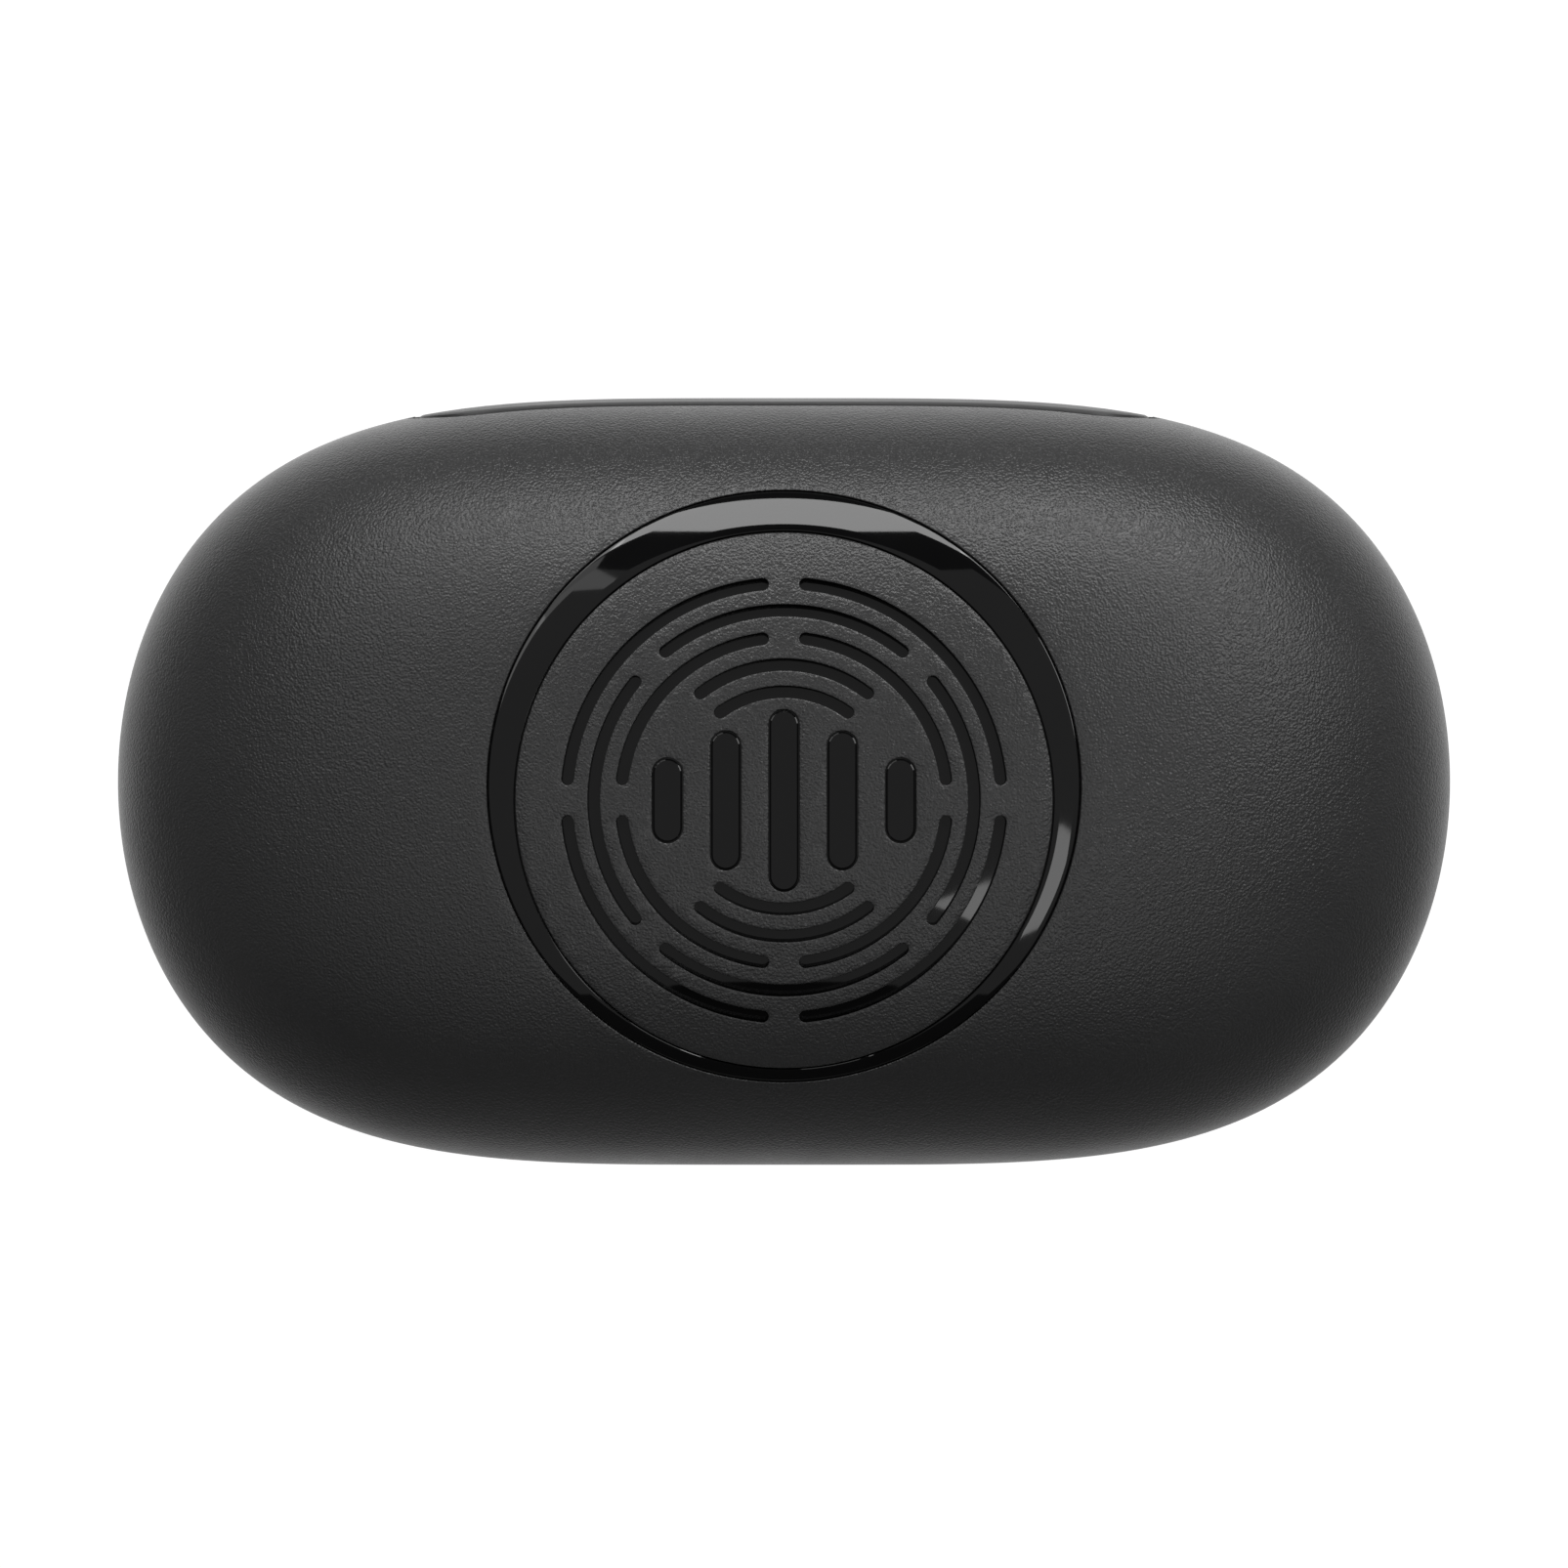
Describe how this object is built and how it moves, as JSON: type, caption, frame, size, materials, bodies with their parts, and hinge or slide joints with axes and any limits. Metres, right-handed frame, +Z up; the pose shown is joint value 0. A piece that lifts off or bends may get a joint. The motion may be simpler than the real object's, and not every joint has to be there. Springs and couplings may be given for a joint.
{
  "type": "wireless earbuds charging case",
  "caption": "Pebble-shaped charging case with a hinged lid, two earbud wells with sprung contacts, a dongle pocket and a USB-C port.",
  "frame": {"origin": "middle of the flat foot the case stands on", "axes": "+X along the case's length, +Y towards the hinge at the back, +Z up through the lid"},
  "size_m": [0.07, 0.0403, 0.033],
  "materials": {
    "grained_shell": "moulded black polycarbonate with a fine leather-like grain",
    "gloss_black": "polished piano black",
    "satin_black": "smooth satin black",
    "steel": "stainless steel",
    "black_steel": "blackened spring steel",
    "nickel": "nickel-plated magnet",
    "gold": "gold-plated brass",
    "chip_black": "moulded black resin",
    "board_green": "circuit board with green solder mask",
    "cell_foil": "aluminium pouch foil",
    "foam_black": "closed-cell foam",
    "wire_red": "silicone wire insulation",
    "wire_black": "silicone wire insulation",
    "connector_white": "natural nylon",
    "light_pipe": "milky clear polycarbonate"
  },
  "bodies": {
    "base": {"base_shell": "grained_shell", "usb_port_surround": "gloss_black", "light_pipe": "light_pipe", "cradle": "satin_black", "hinge_cover": "satin_black", "hinge_pin": "steel", "hinge_spring": "steel", "contact_barrel_right_rear": "gold", "contact_barrel_right_front": "gold", "contact_barrel_left_rear": "gold", "contact_barrel_left_front": "gold", "contact_spring_right_rear": "steel", "contact_spring_right_front": "steel", "contact_spring_left_rear": "steel", "contact_spring_left_front": "steel", "contact_block_right": "chip_black", "contact_block_left": "chip_black", "main_board": "board_green", "usb_shell": "steel", "usb_tongue": "chip_black", "battery_cell": "cell_foil", "battery_foam": "foam_black", "battery_guard_board": "board_green", "battery_lead_red": "wire_red", "battery_lead_black": "wire_black", "battery_connector": "connector_white", "inductor": "chip_black", "charger_chip": "chip_black", "controller_chip": "chip_black", "lid_sensor": "chip_black", "status_led": "light_pipe", "board_screw_1": "steel", "board_screw_2": "steel", "board_screw_3": "steel", "board_screw_4": "steel", "latch_magnet_base": "nickel", "bud_magnet_right": "nickel", "bud_magnet_left": "nickel"},
    "lid": {"lid_shell": "grained_shell", "lid_liner": "satin_black", "emblem_disc": "grained_shell", "emblem_insert": "gloss_black", "lid_hinge_bracket": "black_steel", "lid_screw_1": "steel", "lid_screw_2": "steel", "latch_magnet_lid": "nickel"},
    "contact_right_rear": {"contact_pin_right_rear": "gold"},
    "contact_right_front": {"contact_pin_right_front": "gold"},
    "contact_left_rear": {"contact_pin_left_rear": "gold"},
    "contact_left_front": {"contact_pin_left_front": "gold"}
  },
  "joints": [
    {"name": "lid_hinge", "type": "hinge", "parent": "base", "child": "lid", "pos_m": [0, 0.0183, 0.0213], "axis": [-1, 0, 0], "range_deg": [0, 95], "deforming": ["hinge_spring"]},
    {"name": "contact_right_rear_press", "type": "slide", "parent": "base", "child": "contact_right_rear", "axis": [0, 0, -1], "range_m": [0, 0.0008], "stiffness_N_per_m": 600, "springref_m": -0.0005, "deforming": ["contact_spring_right_rear"]},
    {"name": "contact_right_front_press", "type": "slide", "parent": "base", "child": "contact_right_front", "axis": [0, 0, -1], "range_m": [0, 0.0008], "stiffness_N_per_m": 600, "springref_m": -0.0005, "deforming": ["contact_spring_right_front"]},
    {"name": "contact_left_rear_press", "type": "slide", "parent": "base", "child": "contact_left_rear", "axis": [0, 0, -1], "range_m": [0, 0.0008], "stiffness_N_per_m": 600, "springref_m": -0.0005, "deforming": ["contact_spring_left_rear"]},
    {"name": "contact_left_front_press", "type": "slide", "parent": "base", "child": "contact_left_front", "axis": [0, 0, -1], "range_m": [0, 0.0008], "stiffness_N_per_m": 600, "springref_m": -0.0005, "deforming": ["contact_spring_left_front"]}
  ]
}
